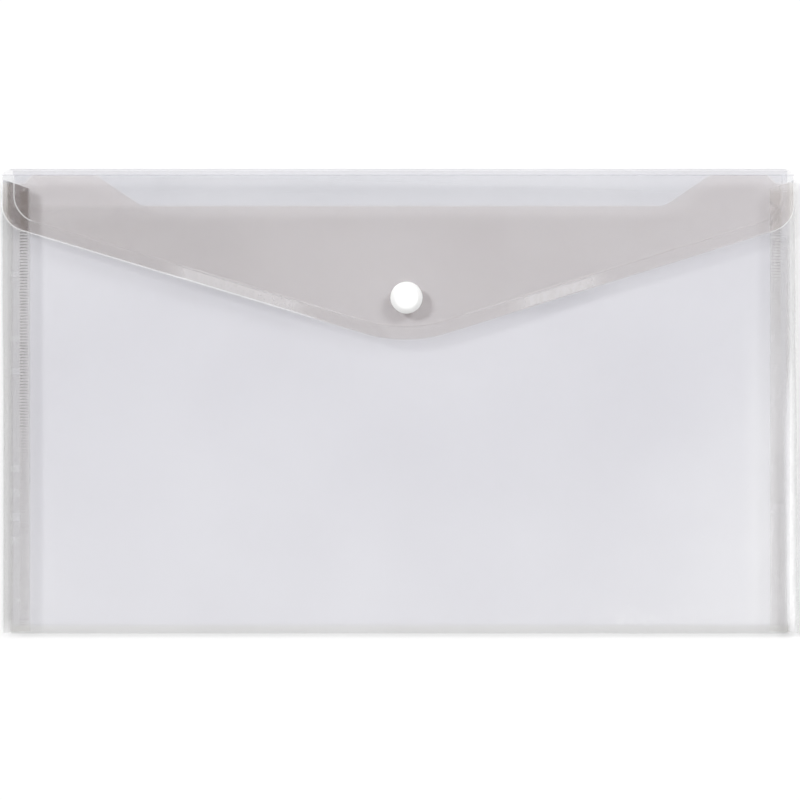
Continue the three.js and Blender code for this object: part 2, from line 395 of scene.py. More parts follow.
class NodeSheet:
    """A short way to add and join shader nodes in one tree."""

    def __init__(self, tree: bpy.types.NodeTree) -> None:
        """Work in a node tree."""
        self.tree = tree

    def add(self, kind: str, values: dict[str, object] | None = None, **settings: object) -> bpy.types.Node:
        """Add a node, set its properties and feed its inputs.

        Args:
            kind: Blender's name of the node type.
            values: What to feed the inputs, by their names.
            settings: Properties to set.

        Returns:
            The new node.
        """
        node = self.tree.nodes.new(kind)
        for name, value in settings.items():
            setattr(node, name, value)
        self.feed(node, values or {})
        return node

    def feed(self, node: bpy.types.Node, values: dict[str, object] | dict[int, object]) -> None:
        """Join a node's inputs to sockets, or set them to plain values.

        Args:
            node: The node.
            values: A socket or a plain value for each input, by its name or number.
        """
        for name, value in values.items():
            if isinstance(value, bpy.types.NodeSocket):
                self.tree.links.new(value, node.inputs[name])
            else:
                node.inputs[name].default_value = value

    def painted(self, mark: Mark) -> bpy.types.NodeSocket:
        """Read a mark that is painted on the piece."""
        return self.add("ShaderNodeAttribute", attribute_name=mark.value).outputs["Fac"]

    def math(self, operation: str, first: object, second: object = 0.0, clamp: bool = False) -> bpy.types.NodeSocket:
        """Work out one number from two, each a socket or a plain number.

        Args:
            operation: Blender's name of the operation.
            first: The first number.
            second: The second number.
            clamp: Whether to keep the result from 0 to 1.

        Returns:
            The result's socket.
        """
        node = self.add("ShaderNodeMath", operation=operation, use_clamp=clamp)
        self.feed(node, {0: first, 1: second})
        return node.outputs[0]

    def blend(self, share: bpy.types.NodeSocket, first: object, second: object) -> bpy.types.NodeSocket:
        """Mix two colours, each a socket or a plain colour.

        Args:
            share: How much of the second colour there is.
            first: The first colour.
            second: The second colour.

        Returns:
            The mixed colour's socket.
        """
        ends = [end if isinstance(end, bpy.types.NodeSocket) else (*end, 1) for end in (first, second)]
        node = self.add("ShaderNodeMix", data_type="RGBA")
        self.feed(node, {0: share, 6: ends[0], 7: ends[1]})
        return node.outputs[2]

    def span(self, value: bpy.types.NodeSocket, from_low: float, from_high: float, to_low: float,
             to_high: float) -> bpy.types.NodeSocket:
        """Carry a value from one range to another, kept inside it."""
        ends = {"From Min": from_low, "From Max": from_high, "To Min": to_low, "To Max": to_high}
        return self.add("ShaderNodeMapRange", {"Value": value, **ends}, clamp=True).outputs["Result"]


class Socket(Enum):
    """Kinds of socket of a shader group, by Blender's names."""

    NUMBER = "NodeSocketFloat"
    COLOUR = "NodeSocketColor"


class ShaderGroup:
    """A group of shader nodes that several materials share."""

    NAME = ""
    INPUTS: dict[str, Socket] = {}
    OUTPUTS: dict[str, Socket] = {}

    def __init__(self) -> None:
        """Build the group once."""
        self.tree = bpy.data.node_groups.new(self.NAME, "ShaderNodeTree")
        for end, sockets in (("INPUT", self.INPUTS), ("OUTPUT", self.OUTPUTS)):
            for label, kind in sockets.items():
                self.tree.interface.new_socket(label, in_out=end, socket_type=kind.value)
        sheet = NodeSheet(self.tree)
        given = sheet.add("NodeGroupInput").outputs
        sheet.add("NodeGroupOutput", self.results(sheet, given))

    def results(self, sheet: NodeSheet, given: bpy.types.NodeOutputs) -> dict[str, bpy.types.NodeSocket]:
        """Work out a socket for each output of the group, by its name."""
        raise NotImplementedError

    def place(self, sheet: NodeSheet, *values: object) -> bpy.types.NodeOutputs:
        """Put the group in a material, with a socket or a plain value for each input in order."""
        return sheet.add("ShaderNodeGroup", dict(zip(self.INPUTS, values)), node_tree=self.tree).outputs


class CloudGroup(ShaderGroup):
    """Slow clouding and fine grain of cast plastic."""

    NAME = "plastic_clouding"
    INPUTS = {"Cloud Size": Socket.NUMBER, "Grain Size": Socket.NUMBER}
    OUTPUTS = {"Cloud": Socket.NUMBER, "Grain": Socket.NUMBER}
    DETAILS = {"Cloud": 1.0, "Grain": 0.0}

    def results(self, sheet: NodeSheet, given: bpy.types.NodeOutputs) -> dict[str, bpy.types.NodeSocket]:
        """Draw the clouding and the grain as noise.

        Args:
            sheet: The group's nodes.
            given: The group's inputs, by their names.

        Returns:
            A socket for each output, by its name.
        """
        place = sheet.add("ShaderNodeTexCoord").outputs["Object"]
        made = {}
        for label, detail in self.DETAILS.items():
            values = {"Vector": place, "Scale": given[f"{label} Size"], "Detail": detail}
            made[label] = sheet.add("ShaderNodeTexNoise", values).outputs["Fac"]
        return made


class MarksGroup(ShaderGroup):
    """Marks painted on a piece of film: darkening that is mostly painted shade, whitening that is mostly painted
    highlights, and scuffs.
    """

    NAME = "film_marks"
    INPUTS = OUTPUTS = {"Colour": Socket.COLOUR, "Cover": Socket.NUMBER}
    # Grey that the shade mark leads to, mostly for painted shade; white that whitening leads to, mostly for painted
    # highlights.
    SHADE_GREY = (0.13, 0.125, 0.13)
    WHITE = (0.97, 0.97, 0.975)

    def results(self, sheet: NodeSheet, given: bpy.types.NodeOutputs) -> dict[str, bpy.types.NodeSocket]:
        """Darken or whiten the film's colour, and add the marks to its cover.

        Args:
            sheet: The group's nodes.
            given: The group's inputs, by their names.

        Returns:
            A socket for each output, by its name.
        """
        shade, white, scuff = (sheet.painted(mark) for mark in (Mark.SHADE, Mark.WHITE, Mark.SCUFF))
        streaks = self._streaks(sheet, (750, 110, 750))
        dashes = self._streaks(sheet, (1000, 190, 1000))
        unevenness = sheet.span(streaks, 0.35, 0.65, -0.16, 0.08)
        heavy = sheet.math("MULTIPLY", sheet.math("POWER", white, 2.0), 8.0, clamp=True)
        uneven = sheet.math("MULTIPLY", heavy, unevenness)
        streaked = sheet.math("MULTIPLY", white, sheet.math("ADD", 1.0, uneven), clamp=True)
        dashed = sheet.math("MULTIPLY", scuff, sheet.span(dashes, 0.5, 0.66, 0.0, 1.0))
        darkened = sheet.blend(sheet.math("MULTIPLY", shade, 3.0, clamp=True), given["Colour"], self.SHADE_GREY)
        paleness = sheet.math("ADD", sheet.math("MULTIPLY", streaked, 3.0), dashed, clamp=True)
        whitened = sheet.blend(paleness, darkened, self.WHITE)
        open_share = sheet.math("SUBTRACT", 1.0, given["Cover"])
        for mark in (shade, streaked):
            open_share = sheet.math("MULTIPLY", open_share, sheet.math("SUBTRACT", 1.0, mark, clamp=True))
        return {"Colour": whitened, "Cover": sheet.math("SUBTRACT", 1.0, open_share, clamp=True)}

    @staticmethod
    def _streaks(sheet: NodeSheet, scale: tuple[float, float, float]) -> bpy.types.NodeSocket:
        """Add noise that is drawn out along the pocket's height.

        Args:
            sheet: The group's nodes.
            scale: Scale of the noise along each axis.

        Returns:
            The noise's socket.
        """
        place = sheet.add("ShaderNodeTexCoord").outputs["Object"]
        drawn_out = sheet.add("ShaderNodeMapping", {"Scale": scale, "Vector": place}).outputs[0]
        return sheet.add("ShaderNodeTexNoise", {"Scale": 1.0, "Detail": 1.0, "Vector": drawn_out}).outputs["Fac"]


def new_material(name: str) -> tuple[bpy.types.Material, NodeSheet, bpy.types.Node]:
    """Make a material with one Principled shader.

    Args:
        name: The material's name.

    Returns:
        The material, its nodes, and its shader.
    """
    made = bpy.data.materials.new(name)
    made.use_nodes = True
    made.node_tree.nodes.clear()
    sheet = NodeSheet(made.node_tree)
    shader = sheet.add("ShaderNodeBsdfPrincipled")
    sheet.add("ShaderNodeOutputMaterial", {"Surface": shader.outputs["BSDF"]})
    return made, sheet, shader


@dataclass(frozen=True)
class FilmFinish:
    """Clear film: what is behind it shows, dimmed a little by each layer.

    Args:
        name: The material's name.
        pale: Colour where the film is clearest.
        cloudy: Colour where it is cloudiest.
        cover: Share of the light that one layer stops when seen square on.
        clouding: How much the cover changes over the film.
        sheen: How much more the film covers at a glancing angle.
        roughness: Roughness of its gloss.
        tint: Colour that the tint mark leads to, if the piece has it. It leaves the cover as it is.
    """

    name: str
    pale: tuple[float, float, float]
    cloudy: tuple[float, float, float]
    cover: float
    clouding: float
    sheen: float
    roughness: float
    tint: tuple[float, float, float] | None = None

    CLOUD_SIZE = 22.0
    GRAIN_SIZE = 1400.0

    def build(self, clouds: CloudGroup, marks: MarksGroup) -> bpy.types.Material:
        """Make the material.

        Args:
            clouds: The clouding group.
            marks: The group for painted marks.

        Returns:
            The material.
        """
        made, sheet, shader = new_material(self.name)
        group = clouds.place(sheet, self.CLOUD_SIZE, self.GRAIN_SIZE)
        colour = sheet.blend(group["Cloud"], self.pale, self.cloudy)
        if self.tint:
            colour = sheet.blend(sheet.painted(Mark.TINT), colour, self.tint)
        drift = sheet.span(group["Cloud"], 0.3, 0.7, self.cover - self.clouding, self.cover + self.clouding)
        glance = sheet.add("ShaderNodeFresnel", {"IOR": 1.5}).outputs[0]
        cover = sheet.math("ADD", drift, sheet.math("MULTIPLY", glance, self.sheen))
        marked = marks.place(sheet, colour, cover)
        outside = sheet.math("SUBTRACT", 1.0, sheet.add("ShaderNodeNewGeometry").outputs["Backfacing"])
        sheet.feed(shader, {
            "Alpha": sheet.math("MULTIPLY", marked["Cover"], outside, clamp=True),
            "Base Color": marked["Colour"],
            "Roughness": sheet.span(group["Grain"], 0.35, 0.65, self.roughness - 0.03, self.roughness + 0.03),
        })
        return made


@dataclass(frozen=True)
class MouldedFinish:
    """Moulded white plastic, with a soft gloss and slightly uneven skin.

    Args:
        name: The material's name.
        colour: The plastic's colour.
        shade: Its colour in the faint clouding.
        roughness: Roughness of its gloss.
    """

    name: str
    colour: tuple[float, float, float]
    shade: tuple[float, float, float]
    roughness: float

    CLOUD_SIZE = 180.0
    GRAIN_SIZE = 2600.0

    def build(self, clouds: CloudGroup) -> bpy.types.Material:
        """Make the material.

        Args:
            clouds: The clouding group.

        Returns:
            The material.
        """
        made, sheet, shader = new_material(self.name)
        group = clouds.place(sheet, self.CLOUD_SIZE, self.GRAIN_SIZE)
        bump = sheet.add("ShaderNodeBump", {"Strength": 0.15, "Distance": 0.02 * MM, "Height": group["Grain"]})
        sheet.feed(shader, {
            "Base Color": sheet.blend(group["Cloud"], self.colour, self.shade),
            "Roughness": sheet.span(group["Grain"], 0.3, 0.7, self.roughness - 0.04, self.roughness + 0.06),
            "Normal": bump.outputs["Normal"],
        })
        return made


class Finishes:
    """Every finish of the envelope, built once."""

    def __init__(self) -> None:
        """Build the materials."""
        clouds, marks = CloudGroup(), MarksGroup()

        def film(*look: object, **tint: tuple[float, float, float]) -> bpy.types.Material:
            """Make one film finish."""
            return FilmFinish(*look, **tint).build(clouds, marks)

        pale, cloudy = (0.35, 0.345, 0.45), (0.39, 0.38, 0.47)
        self.film = film("clear_film", pale, cloudy, 0.138, 0.010, 0.35, 0.28)
        # The front film's tint is the white of its haze and painted glare.
        self.front = film("front_film", pale, cloudy, 0.138, 0.010, 0.35, 0.28, tint=(0.97, 0.97, 0.975))
        self.spine = film("spine_strip", pale, cloudy, 0.045, 0.01, 0.1, 0.28)
        self.flap = film("flap_film", (0.37, 0.39, 0.46), (0.35, 0.37, 0.44), 0.17, 0.010, 0.3, 0.3,
                         tint=(0.385, 0.28, 0.208))
        self.fold = film("fold_film", (0.30, 0.295, 0.295), (0.34, 0.335, 0.335), 0.145, 0.01, 0.2, 0.28)
        self.gusset = film("gusset_film", (0.42, 0.41, 0.42), (0.46, 0.45, 0.46), 0.125, 0.01, 0.2, 0.26)
        self.tab = film("tab_film", (0.44, 0.41, 0.31), (0.48, 0.45, 0.35), 0.125, 0.01, 0.3, 0.26)
        self.edge = film("cut_edge", (0.9, 0.9, 0.91), (0.85, 0.85, 0.87), 0.22, 0.05, 0.3, 0.3)
        self.weld = film("pressed_weld", (0.44, 0.36, 0.34), (0.48, 0.40, 0.38), 0.03, 0.01, 0.2, 0.3)
        self.snap = MouldedFinish("white_plastic", (0.96, 0.96, 0.955), (0.92, 0.92, 0.91), 0.32).build(clouds)


@dataclass
class Pocket:
    """The pocket: back panel, bottom fold, front panel, side gussets and welds.

    Args:
        finishes: The envelope's materials.
        notch_depth: Depth of the thumb notch below the shoulders.
        notch_top: Width of the notch at the shoulders.
        notch_floor: Width of the notch's level floor.
        notch_radius: Rounding of the notch.
        notch_shift: How far right of the middle the notch lies.
        step_width: Width of the low step at each end of the mouth.
        step_drop: Drop of the step below the shoulder.
        step_slope: Width of the slope between them.
        edge_radius: Rounding of the step.
        tab_width: Width of a gusset's tab under the front panel.
        gusset_slant: Drop of the tab's top end from its fold to its inner edge.
        foot_slant: Rise of the tab's bottom end in the same way.
        rib_pitch: Spacing of the weld's ribs.
        rib_shades: How dark the painted shade in the furrows of each weld is at the top.
        rib_fades: How fast they fade downwards, as a power.
        grid: Spacing of the cuts that let a panel bend.
    """

    finishes: Finishes
    notch_depth: float = 9.5 * MM
    notch_top: float = 186 * MM
    notch_floor: float = 158 * MM
    notch_radius: float = 7 * MM
    notch_shift: float = 0.9 * MM
    step_width: float = 4.4 * MM
    step_drop: float = 2.7 * MM
    step_slope: float = 2.6 * MM
    edge_radius: float = 1 * MM
    tab_width: float = 5.9 * MM
    gusset_slant: float = 3 * MM
    foot_slant: float = 0.8 * MM
    rib_pitch: float = 0.9 * MM
    rib_shades: tuple[float, float] = (1.0, 0.3)
    rib_fades: tuple[float, float] = (1.5, 3.0)
    grid: float = 5 * MM

    SWELLS = (
        Swell(-50 * MM, 60 * MM, 34 * MM, 17 * MM, 1.2 * MM),
        Swell(52 * MM, 60 * MM, 36 * MM, 17 * MM, 1.0 * MM),
        Swell(0 * MM, 62 * MM, 20 * MM, 10 * MM, 0.5 * MM),
        Swell(-20 * MM, -30 * MM, 60 * MM, 30 * MM, -0.5 * MM),
        Swell(80 * MM, -25 * MM, 22 * MM, 30 * MM, 0.35 * MM),
    )
    # Whitening of the front film, partly haze and partly painted glare of the lamps: everywhere, towards the lower
    # right, along the right end, and beside the right tab.
    HAZE_AND_GLARE = (
        Patch(0.17, y=((10, -60),)),
        Patch(0.2, x=((20, 100),), y=((10, -60),)),
        Patch(0.16, x=((78, 100),), y=((12, -15),)),
        Patch(0.3, x=((103, 108), (112.5, 111.5)), y=((35, 5),)),
    )
    SPARSE_SCUFFS = Patch(0.18, x=((20, 60),), y=((-35, -55),))
    # Strokes of the crumpled crease in the right tab's top end, drawn as lines of painted shade, through places in
    # millimetres.
    CRUMPLE = (
        ((111.4, 60.7), (114.2, 58.6), (113.0, 56.7), (111.4, 54.6), (111.7, 53.2)),
        ((116.1, 58.8), (114.2, 56.2), (112.1, 53.5)),
    )

    def __post_init__(self) -> None:
        """Read the places that the frame gives."""
        low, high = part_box("front_panel")
        self.half = high.x
        self.fold_y = low.y
        self.shoulder_y = high.y
        self.front_top = high.z
        self.front_under = low.z
        self.foot_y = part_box("bottom_fold")[0].y
        self.end_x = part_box("right_gusset")[1].x
        self.gusset_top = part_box("right_gusset")[1].y
        self.gusset_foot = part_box("right_gusset")[0].y
        self.back_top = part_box("back_panel")[1].y

    def front_lift(self, x: float, y: float) -> float:
        """Rise of the front panel's film above its flat place.

        Args:
            x: Place along the pocket.
            y: Place up the pocket.

        Returns:
            The rise.
        """
        calm = ease(0, 18, self.half - self.tab_width - abs(x)) * ease(0, 22, y - self.fold_y)
        lift = sum(swell.at(x, y) for swell in self.SWELLS)
        return calm * (lift + 0.12 * MM * ripple(x, y, 34 * MM, 2.0))

    def _front_haze_and_glare(self, point: Vector) -> float:
        """Whitening of the front film, partly handling haze and partly painted glare, that grows downwards and to
        the right, most beside the tab.
        """
        drift = 1 + 0.25 * ripple(point.x + point.y, point.y - point.x, 16 * MM, 9.0)
        return min(drift * total(self.HAZE_AND_GLARE, point), 1.0) * self._above_fold(point)

    def _front_scuffs(self, point: Vector) -> float:
        """Short upright scuffs of the front film just above the bottom fold, on the right.

        Args:
            point: A point of the film.

        Returns:
            The scuffs' strength from 0 to 1.
        """
        low = smooth(self.fold_y + 9 * MM, self.fold_y + 3 * MM, point.y) * ease(50, 66, point.x)
        inside = smooth(self.half - self.tab_width + MM, self.half - self.tab_width, point.x)
        return max(0.95 * low, self.SPARSE_SCUFFS.at(point)) * inside * self._above_fold(point)

    def _above_fold(self, point: Vector) -> float:
        """Share of a mark that is left near the bottom fold, where it fades out."""
        return smooth(self.fold_y - 0.2 * MM, self.fold_y + 1.2 * MM, point.y)

    def mouth_height(self, x: float) -> float:
        """Height of the front panel's top edge at a place along the pocket.

        Args:
            x: The place.

        Returns:
            The height.
        """
        ramp = part(self.notch_floor / 2, self.notch_top / 2, abs(x - self.notch_shift))
        step_in = self.half - self.step_width
        step = part(step_in - self.step_slope, step_in, abs(x))
        return self.shoulder_y - self.notch_depth * (1 - ramp) - self.step_drop * step

    def mouth(self, side: Side) -> list[Corner]:
        """Half of the mouth's outline, from the notch floor to the panel's side edge.

        Args:
            side: Which half.

        Returns:
            The corners.
        """
        sign = side.value
        step_x = sign * (self.half - self.step_width)
        return [
            Corner(self.notch_shift + sign * self.notch_floor / 2, self.shoulder_y - self.notch_depth,
                   self.notch_radius),
            Corner(self.notch_shift + sign * self.notch_top / 2, self.shoulder_y, self.notch_radius),
            Corner(step_x - sign * self.step_slope, self.shoulder_y, self.edge_radius),
            Corner(step_x, self.shoulder_y - self.step_drop, self.edge_radius),
            Corner(sign * self.half, self.shoulder_y - self.step_drop),
        ]

    def front_panel(self) -> bpy.types.Object:
        """Cut, bend and thicken the front panel.

        Returns:
            The front panel.
        """
        film = FilmBlank()
        corners = [Corner(-self.half, self.fold_y), Corner(self.half, self.fold_y)]
        corners += self.mouth(Side.RIGHT)[::-1] + self.mouth(Side.LEFT)
        film.fill(film.loop(corners))
        film.cut_across(0, -self.half, self.half, self.grid)
        film.cut_across(1, self.fold_y, self.shoulder_y, self.grid)
        # Finer cuts carry the scuffs above the fold and the haze and painted glare beside the right tab.
        film.cut_across(1, self.fold_y, self.fold_y + 12 * MM, MM)
        film.cut_across(0, 102 * MM, 114 * MM, MM)
        film.lift(lambda x, y: self.front_top + self.front_lift(x, y))
        film.thicken()
        film.mark_rim(lambda p: p.y > self.fold_y + 0.1 * MM)
        # Haze and painted glare lighten the front film's colour through the tint mark.
        paint(film.bm, Mark.TINT, self._front_haze_and_glare)
        paint(film.bm, Mark.SCUFF, self._front_scuffs)
        return film.piece("front_film", self.finishes.front, self.finishes.edge)

    def back_panel(self) -> bpy.types.Object:
        """Cut and thicken the back panel, which lies flat.

        Returns:
            The back panel.
        """
        film = FilmBlank()
        film.fill(film.loop([
            Corner(-self.half, self.fold_y), Corner(self.half, self.fold_y),
            Corner(self.half, self.back_top), Corner(-self.half, self.back_top),
        ]))
        film.cut_across(0, -self.half, self.half, 4 * self.grid)
        film.cut_across(1, self.fold_y, self.back_top, 4 * self.grid)
        film.lift(lambda x, y: FILM)
        film.thicken()
        return film.piece("back_film", self.finishes.film, self.finishes.edge)

    def bottom_fold(self) -> bpy.types.Object:
        """Turn the film over from the back panel to the front panel along the bottom.

        Returns:
            The fold.
        """
        film = FilmBlank()
        middle = self.front_top / 2
        start = film.bm.verts.new((-self.half, self.fold_y, self.front_top))
        end = film.bm.verts.new((self.half, self.fold_y, self.front_top))
        edge = film.bm.edges.new((start, end))
        bmesh.ops.spin(film.bm, geom=[edge], cent=(0, self.fold_y, middle), axis=(1, 0, 0), angle=math.pi,
                       steps=FilmBlank.FOLD_STEPS, use_merge=False)
        squeeze = (self.fold_y - self.foot_y) / middle
        film.bend(lambda p: Vector((p.x, self.fold_y + (p.y - self.fold_y) * squeeze, p.z)))
        film.cut_across(0, -self.half, self.half, 2 * self.grid)
        agree_normals(film.bm)
        self._face_away(film, Vector((0, self.fold_y, middle)), along=Vector((1, 0, 0)))
        film.thicken()
        return film.piece("bottom_fold_film", self.finishes.fold, self.finishes.edge)

    @staticmethod
    def _face_away(film: FilmBlank, centre: Vector, along: Vector) -> None:
        """Turn a rounded film's faces away from its centre line.

        Args:
            film: The film.
            centre: A point of the centre line.
            along: The centre line's direction.
        """
        film.bm.normal_update()
        outward = 0.0
        for face in film.bm.faces:
            out = face.calc_center_median() - centre
            out -= along * out.dot(along)
            outward += out.dot(face.normal)
        if outward < 0:
            bmesh.ops.reverse_faces(film.bm, faces=film.bm.faces[:])

    def gusset(self, side: Side) -> bpy.types.Object:
        """Fold a gusset up from the back panel and lay its tab under the front panel.

        Args:
            side: Which end it closes.

        Returns:
            The gusset.
        """
        film = FilmBlank()
        middle = self.front_under / 2
        reach = self.end_x - self.half
        foot = film.bm.verts.new((self.half, self.foot_y, 0))
        head = film.bm.verts.new((self.half, self.gusset_top, 0))
        edge = film.bm.edges.new((foot, head))
        spun = bmesh.ops.spin(film.bm, geom=[edge], cent=(self.half, 0, middle), axis=(0, -1, 0), angle=math.pi,
                              steps=FilmBlank.FOLD_STEPS, use_merge=False)
        tip = only(bmesh.types.BMEdge, spun["geom_last"])
        steps = 4
        for _ in range(steps):
            grown = bmesh.ops.extrude_edge_only(film.bm, edges=tip)["geom"]
            moved = only(bmesh.types.BMVert, grown)
            bmesh.ops.translate(film.bm, verts=moved, vec=Vector((-self.tab_width / steps, 0, 0)))
            tip = only(bmesh.types.BMEdge, grown)
        squeeze = reach / middle
        film.bend(lambda p: Vector((self.half + (p.x - self.half) * (squeeze if p.x > self.half else 1), p.y, p.z)))
        film.cut_across(1, self.foot_y, self.gusset_top, self.grid)
        # Finer cuts carry the wrinkles that are painted on the tab.
        film.cut_across(1, 49 * MM, self.gusset_top, 0.45 * MM)
        film.cut_across(0, self.half - self.tab_width, self.half - MM, 0.4 * MM)
        inner = self.half - self.tab_width
        run = self.end_x - inner
        film.trim(Vector((self.end_x, self.gusset_top, 0)), Vector((-self.gusset_slant, run, 0)).normalized())
        film.trim(Vector((self.end_x, self.gusset_foot, 0)), Vector((-self.foot_slant, -run, 0)).normalized())
        agree_normals(film.bm)
        self._face_away(film, Vector((self.half, 0, middle)), along=Vector((0, 1, 0)))
        film.thicken()
        film.mark_rim(lambda p: not (abs(p.x - self.half) < 0.1 * MM and p.z < self.front_under / 2))
        for face in film.bm.faces:
            centre = face.calc_center_median()
            if face.material_index == 0 and centre.x < self.half and centre.z > middle:
                face.material_index = 2
        film.bend(lambda p: self._settle_gusset(p, side))
        if side is Side.LEFT:
            bmesh.ops.scale(film.bm, vec=(-1, 1, 1), verts=film.bm.verts[:])
            bmesh.ops.reverse_faces(film.bm, faces=film.bm.faces[:])
            # Painted shade on the left gusset.
            paint(film.bm, Mark.SHADE, self._left_shade)
        else:
            # Painted shade on the right tab.
            paint(film.bm, Mark.SHADE, self._right_shade)
            # Painted highlight along the right fold.
            paint(film.bm, Mark.WHITE, self._right_fold_highlight)
        return film.piece(f"{side.name.lower()}_gusset_film", self.finishes.gusset, self.finishes.edge,
                          self.finishes.tab)

    def _left_shade(self, point: Vector) -> float:
        """Painted shade on the left gusset: faint on its tab, and dark on the tab's top end under the flap, where
        the fold and the flap shade it.

        Args:
            point: A point of the gusset.

        Returns:
            The shading from 0 to 1.
        """
        out = -point.x - self.half
        rise = part(-5.4 * MM, 1.1 * MM, out)
        edge_y = 51.3 * MM + 5.5 * MM * rise * rise
        within = ease(1.6, 0.3, out) * ease(-5.7, -5.2, out)
        within *= smooth(edge_y - 0.7 * MM, edge_y + 0.7 * MM, point.y) * (point.z > self.front_under / 2)
        deep = ease(56, 60, point.y) * ease(-0.6, -1.8, out)
        foot = smooth(self.foot_y + 1.5 * MM, self.fold_y + 2 * MM, point.y)
        return max((0.75 + 0.13 * deep) * within, foot * (0.125 - 0.015 * ease(-0.6, 0.6, out)))

    def _right_shade(self, point: Vector) -> float:
        """Painted shade on the right tab, deeper towards the top, with lines of painted shade along a crumpled
        crease in its top end.

        Args:
            point: A point of the gusset.

        Returns:
            The shading from 0 to 1.
        """
        if point.x > self.half or point.z < self.front_under / 2:
            return 0.0
        flat = Vector((point.x, point.y))
        gaps = []
        for stroke in self.CRUMPLE:
            corners = [Vector((x * MM, y * MM)) for x, y in stroke]
            gaps += [self._gap_to(flat, start, end) for start, end in zip(corners, corners[1:])]
        foot = smooth(self.foot_y + 1.5 * MM, self.fold_y + 2 * MM, point.y)
        tone = 0.02 * foot + 0.08 * ease(5, 32, point.y)
        return tone + 0.32 * ease(0.5, 0.1, min(gaps))

    @staticmethod
    def _gap_to(place: Vector, start: Vector, end: Vector) -> float:
        """Distance from a place to a straight stroke.

        Args:
            place: The place.
            start: The stroke's first end.
            end: Its other end.

        Returns:
            The distance.
        """
        run = end - start
        share = part(0, run.dot(run), (place - start).dot(run))
        return (place - start - run * share).length

    def _right_fold_highlight(self, point: Vector) -> float:
        """Painted highlight along the right gusset's fold, which grows and drifts outwards towards the bottom; the
        tab is also lightened at its top end and beside the fold.

        Args:
            point: A point of the gusset.

        Returns:
            The whitening from 0 to 1.
        """
        middle = self.half - 0.4 * MM + 1.2 * MM * smooth(25 * MM, self.foot_y + 10 * MM, point.y)
        middle += 0.9 * MM * smooth(self.foot_y + 9 * MM, self.foot_y, point.y)
        band = math.exp(-((point.x - middle) / (1.45 * MM)) ** 2)
        grown = ease(19, -24, point.y) * (1 - 0.6 * smooth(self.foot_y + 5 * MM, self.foot_y, point.y))
        top = 0.14 * ease(48.5, 51, point.y) * ease(0.5, -0.6, point.x - self.half)
        inner = ease(114.8, 116.2, point.x) * ease(118.4, 117.4, point.x)
        top += 0.13 * ease(10, 30, point.y) * inner
        return top + 0.25 * ease(-0.6, 0.5, point.x - self.half) + 0.7 * band * grown

    def _settle_gusset(self, point: Vector, side: Side) -> Vector:
        """Tuck the tab's foot down into the bottom fold, and let the fold's side drift and waver a little.

        Args:
            point: A point of the right-hand gusset.
            side: The end that the gusset is for.

        Returns:
            The point's new place.
        """
        tucked = point.copy()
        if point.z > self.front_under / 2 and point.y < self.fold_y:
            share = min((self.fold_y - point.y) / (self.fold_y - self.foot_y), 0.96)
            tucked.z = min(point.z, self.front_top / 2 + (self.front_top / 2 - FILM) * math.sqrt(1 - share * share))
        out = smooth(self.half, self.end_x, point.x)
        if side is Side.LEFT:
            drift = 0.1 + 0.35 * ease(0, 45, point.y)
        else:
            drift = 0.55 - part(-70 * MM, 45 * MM, point.y)
        tucked.x += MM * out * (drift + 0.08 * ripple(point.z, point.y, 40 * MM, 7.0))
        return tucked

    def weld(self, side: Side) -> bpy.types.Object:
        """Press the ribbed weld into the front panel's margin.

        Args:
            side: Which end it is on.

        Returns:
            The weld.
        """
        low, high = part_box(f"{side.name.lower()}_weld_seam")
        ribs = round((high.y - low.y) / self.rib_pitch)
        bm = bmesh.new()
        bmesh.ops.create_grid(bm, x_segments=8, y_segments=8 * ribs, size=0.5)
        bmesh.ops.scale(bm, vec=(high.x - low.x, high.y - low.y, 1), verts=bm.verts[:])
        middle_x = (low.x + high.x) / 2
        half_width = (high.x - low.x) / 2
        bmesh.ops.translate(bm, vec=(middle_x, (low.y + high.y) / 2, 0), verts=bm.verts[:])
        for vert in bm.verts:
            wave = 0.5 - 0.5 * math.cos(FULL_TURN * (vert.co.y - low.y) / self.rib_pitch)
            fade = 1 - smooth(0.72, 1.0, abs(vert.co.x - middle_x) / half_width)
            press = 0.75 + 0.25 * ripple(vert.co.x, vert.co.y, 9 * MM, 4.0)
            lift = self.front_lift(vert.co.x, vert.co.y)
            vert.co.z = low.z + lift + (high.z - low.z) * (0.12 + 0.88 * wave * fade * press)
        rim = [edge for edge in bm.edges if edge.is_boundary]
        skirt = bmesh.ops.extrude_edge_only(bm, edges=rim)["geom"]
        for vert in only(bmesh.types.BMVert, skirt):
            vert.co.z = low.z + self.front_lift(vert.co.x, vert.co.y)
        bmesh.ops.holes_fill(bm, edges=[edge for edge in bm.edges if edge.is_boundary])
        agree_normals(bm)
        # Painted shade in the weld's furrows.
        paint(bm, Mark.SHADE, lambda p: self._rib_shade(p, low, high, side))
        return make_object(f"{side.name.lower()}_weld_ribs", bm, [self.finishes.weld])

    def _rib_shade(self, point: Vector, low: Vector, high: Vector, side: Side) -> float:
        """Painted shade of the weld at a place: shade in its furrows, darkest at the top and towards the pocket's
        end.

        Args:
            point: The place.
            low: The weld's lowest corner.
            high: The weld's highest corner.
            side: Which end the weld is on.

        Returns:
            The darkness from 0 to 1.
        """
        number = 0 if side is Side.LEFT else 1
        wave = 0.5 + 0.5 * math.cos(FULL_TURN * (point.y - low.y) / self.rib_pitch)
        inward = abs(point.x) - (abs(low.x + high.x) / 2)
        across = abs(inward) / ((high.x - low.x) / 2)
        outer = 0.55 + 0.45 * ease(-0.5, 0.3, inward)
        share = part(-50 * MM, 45 * MM, point.y)
        toward_top = 0.12 + 0.88 * share ** self.rib_fades[number]
        under_flap = 1 - 0.5 * ease(50, 54, point.y)
        patchy = 0.85 + 0.35 * ripple(point.x, point.y, 7 * MM, 5.0)
        furrow = 0.08 + 0.92 * wave ** 3 * outer * patchy
        dark = self.rib_shades[number] * (1 - smooth(0.75, 1.0, across)) * under_flap * toward_top * furrow
        return min(dark, 0.95)

